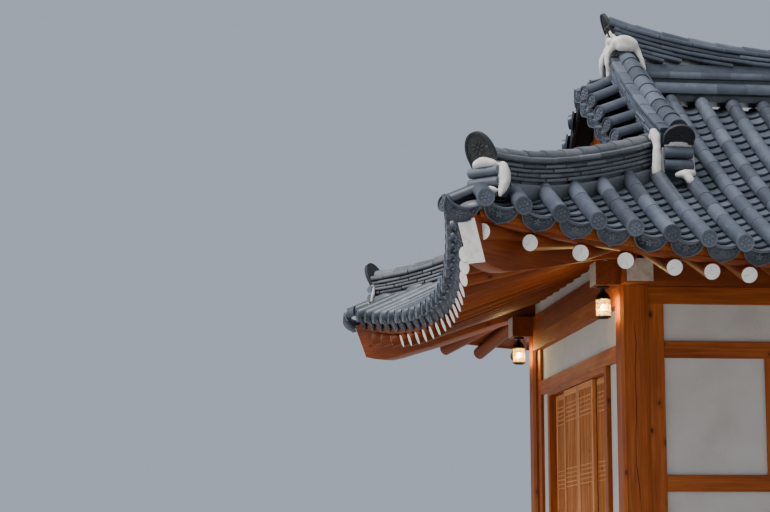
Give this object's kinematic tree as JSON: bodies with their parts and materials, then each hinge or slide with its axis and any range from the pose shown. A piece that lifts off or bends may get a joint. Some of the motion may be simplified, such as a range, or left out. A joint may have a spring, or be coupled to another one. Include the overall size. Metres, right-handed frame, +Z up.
{
  "type": "hanok timber house",
  "caption": "Small Korean timber house with a hip-and-gable tiled roof, plaster and lattice walls, and sliding lattice doors in one gable side.",
  "frame": {"origin": "ground level under the middle of the house", "axes": "+Z up, the long front wall faces -Y, the wall with the sliding doors faces -X"},
  "size_m": [11.62, 7.72, 6.1884],
  "materials": {
    "granite": "dressed, matte",
    "masonry": "lime plaster over stone, matte",
    "pine": "oiled pine with knots and cracks",
    "plaster": "lime plaster, matte",
    "window_lattice": "oiled pine lattice on white paper",
    "door_lattice": "oiled pine lattice",
    "roof_tile": "smoked grey clay, low sheen",
    "lantern_iron": "black, with glass and a brass grid"
  },
  "bodies": {
    "house": {"podium": "granite", "step_stone": "granite", "floor": "masonry", "column_front_left": "pine", "column_front_middle": "pine", "column_front_right": "pine", "column_rear_left": "pine", "column_rear_middle": "pine", "column_rear_right": "pine", "wall_front_left": "plaster", "window_front_left": "window_lattice", "wall_front_right": "plaster", "window_front_right": "window_lattice", "wall_rear_left": "plaster", "window_rear_left": "window_lattice", "wall_rear_right": "plaster", "window_rear_right": "window_lattice", "wall_right": "plaster", "window_right": "window_lattice", "wall_left_over_door": "plaster", "wall_left_rear_strip": "plaster", "wall_left_front_strip": "plaster", "sill_left": "pine", "door_frame": "pine", "wall_plate_front": "pine", "wall_plate_rear": "pine", "wall_plate_left": "pine", "wall_plate_right": "pine", "ridge_frame": "pine", "roof_front": "roof_tile", "roof_rear": "roof_tile", "roof_left": "roof_tile", "roof_right": "roof_tile", "eave_front": "pine", "eave_rear": "pine", "eave_left": "pine", "eave_right": "pine", "corner_rafter_front_left": "pine", "corner_rafter_front_right": "pine", "corner_rafter_rear_left": "pine", "corner_rafter_rear_right": "pine", "gable_left": "pine", "gable_right": "pine", "main_ridge": "roof_tile", "gable_ridge_front_left": "roof_tile", "hip_ridge_front_left": "roof_tile", "gable_ridge_front_right": "roof_tile", "hip_ridge_front_right": "roof_tile", "gable_ridge_rear_left": "roof_tile", "hip_ridge_rear_left": "roof_tile", "gable_ridge_rear_right": "roof_tile", "hip_ridge_rear_right": "roof_tile", "lantern_front": "lantern_iron", "lantern_rear": "lantern_iron"},
    "door_leaf_rear_inner": {"door_leaf_rear_inner": "door_lattice"},
    "door_leaf_rear_outer": {"door_leaf_rear_outer": "door_lattice"},
    "door_leaf_front_outer": {"door_leaf_front_outer": "door_lattice"},
    "door_leaf_front_inner": {"door_leaf_front_inner": "door_lattice"}
  },
  "joints": [
    {"name": "slide_rear_inner", "type": "slide", "parent": "house", "child": "door_leaf_rear_inner", "axis": [0, -1, 0], "range_m": [0, 0.58]},
    {"name": "slide_rear_outer", "type": "slide", "parent": "house", "child": "door_leaf_rear_outer", "axis": [0, 1, 0], "range_m": [0, 0.58]},
    {"name": "slide_front_outer", "type": "slide", "parent": "house", "child": "door_leaf_front_outer", "axis": [0, -1, 0], "range_m": [0, 0.58]},
    {"name": "slide_front_inner", "type": "slide", "parent": "house", "child": "door_leaf_front_inner", "axis": [0, 1, 0], "range_m": [0, 0.58]}
  ]
}
